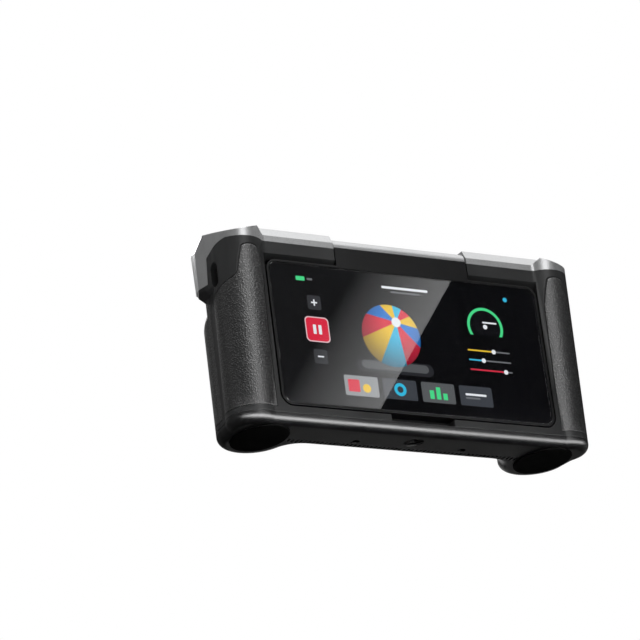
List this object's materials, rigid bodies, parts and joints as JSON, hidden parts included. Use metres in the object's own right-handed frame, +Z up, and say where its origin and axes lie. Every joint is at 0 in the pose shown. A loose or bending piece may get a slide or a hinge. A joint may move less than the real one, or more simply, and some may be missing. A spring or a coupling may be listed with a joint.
{
  "type": "three-d scanner",
  "caption": "Handheld three-d scanner with a flip-up touch screen, rubber side grips and a wide camera head that looks out of its back.",
  "frame": {"origin": "middle of the bounding box's underside, on the surface that the foot pads stand on", "axes": "+X to the right as seen from the screen side, +Y along the scan direction, +Z up"},
  "size_m": [0.2166, 0.052, 0.109],
  "materials": {
    "front_plastic": "fine moulded satin",
    "back_plastic": "fine moulded matt",
    "silver": "fine blasted satin",
    "panel_grey": "satin metallic paint",
    "grip_rubber": "fine stippled matt",
    "foot_rubber": "matt",
    "window_glass": "smoked polished",
    "screen_glass": "polished",
    "display": "lit display",
    "screen_plastic": "fine matt",
    "lens_barrel": "black anodised",
    "light_white": "diffuse white",
    "lens_glass": "coated lens",
    "inner_black": "matt",
    "steel": "turned",
    "board": "solder mask",
    "sink": "extruded",
    "cell_wrap": "shrink wrap"
  },
  "bodies": {
    "housing": {"battery_cell_left": "cell_wrap", "battery_cell_right": "cell_wrap", "bottom_cover": "back_plastic", "case_screws": "steel", "colour_camera": "lens_barrel", "far_camera_left": "lens_barrel", "far_camera_right": "lens_barrel", "fill_lights": "light_white", "foot_pad_left": "foot_rubber", "foot_pad_right": "foot_rubber", "front_grip_left": "grip_rubber", "front_grip_right": "grip_rubber", "front_shell": "front_plastic", "heat_sink": "sink", "hinge_bracket_left": "steel", "hinge_bracket_right": "steel", "hinge_pin_left": "steel", "hinge_pin_right": "steel", "main_board": "board", "near_camera_left": "lens_barrel", "near_camera_right": "lens_barrel", "optical_bench": "sink", "power_switch": "inner_black", "projector_lens": "lens_glass", "projector_tunnel": "inner_black", "rear_grip_left": "grip_rubber", "rear_grip_right": "grip_rubber", "rear_panel": "panel_grey", "rear_shell": "back_plastic", "scan_frame": "silver", "scan_window": "window_glass", "top_cover": "silver", "tripod_insert": "steel", "usb_port": "steel"},
    "screen": {"screen_frame": "screen_plastic", "screen_glass": "screen_glass", "display_panel": "display", "screen_back_cover": "screen_plastic", "hinge_barrel": "silver"},
    "button": {"power_button": "front_plastic"}
  },
  "joints": [
    {"name": "screen_flip", "type": "hinge", "parent": "housing", "child": "screen", "pos_m": [0, -0.016, 0.1025], "axis": [-1, 0, 0], "range_deg": [0, 180]},
    {"name": "power_press", "type": "slide", "parent": "housing", "child": "button", "axis": [-1, 0, 0], "range_m": [0, 0.0005], "stiffness_N_per_m": 1500}
  ]
}
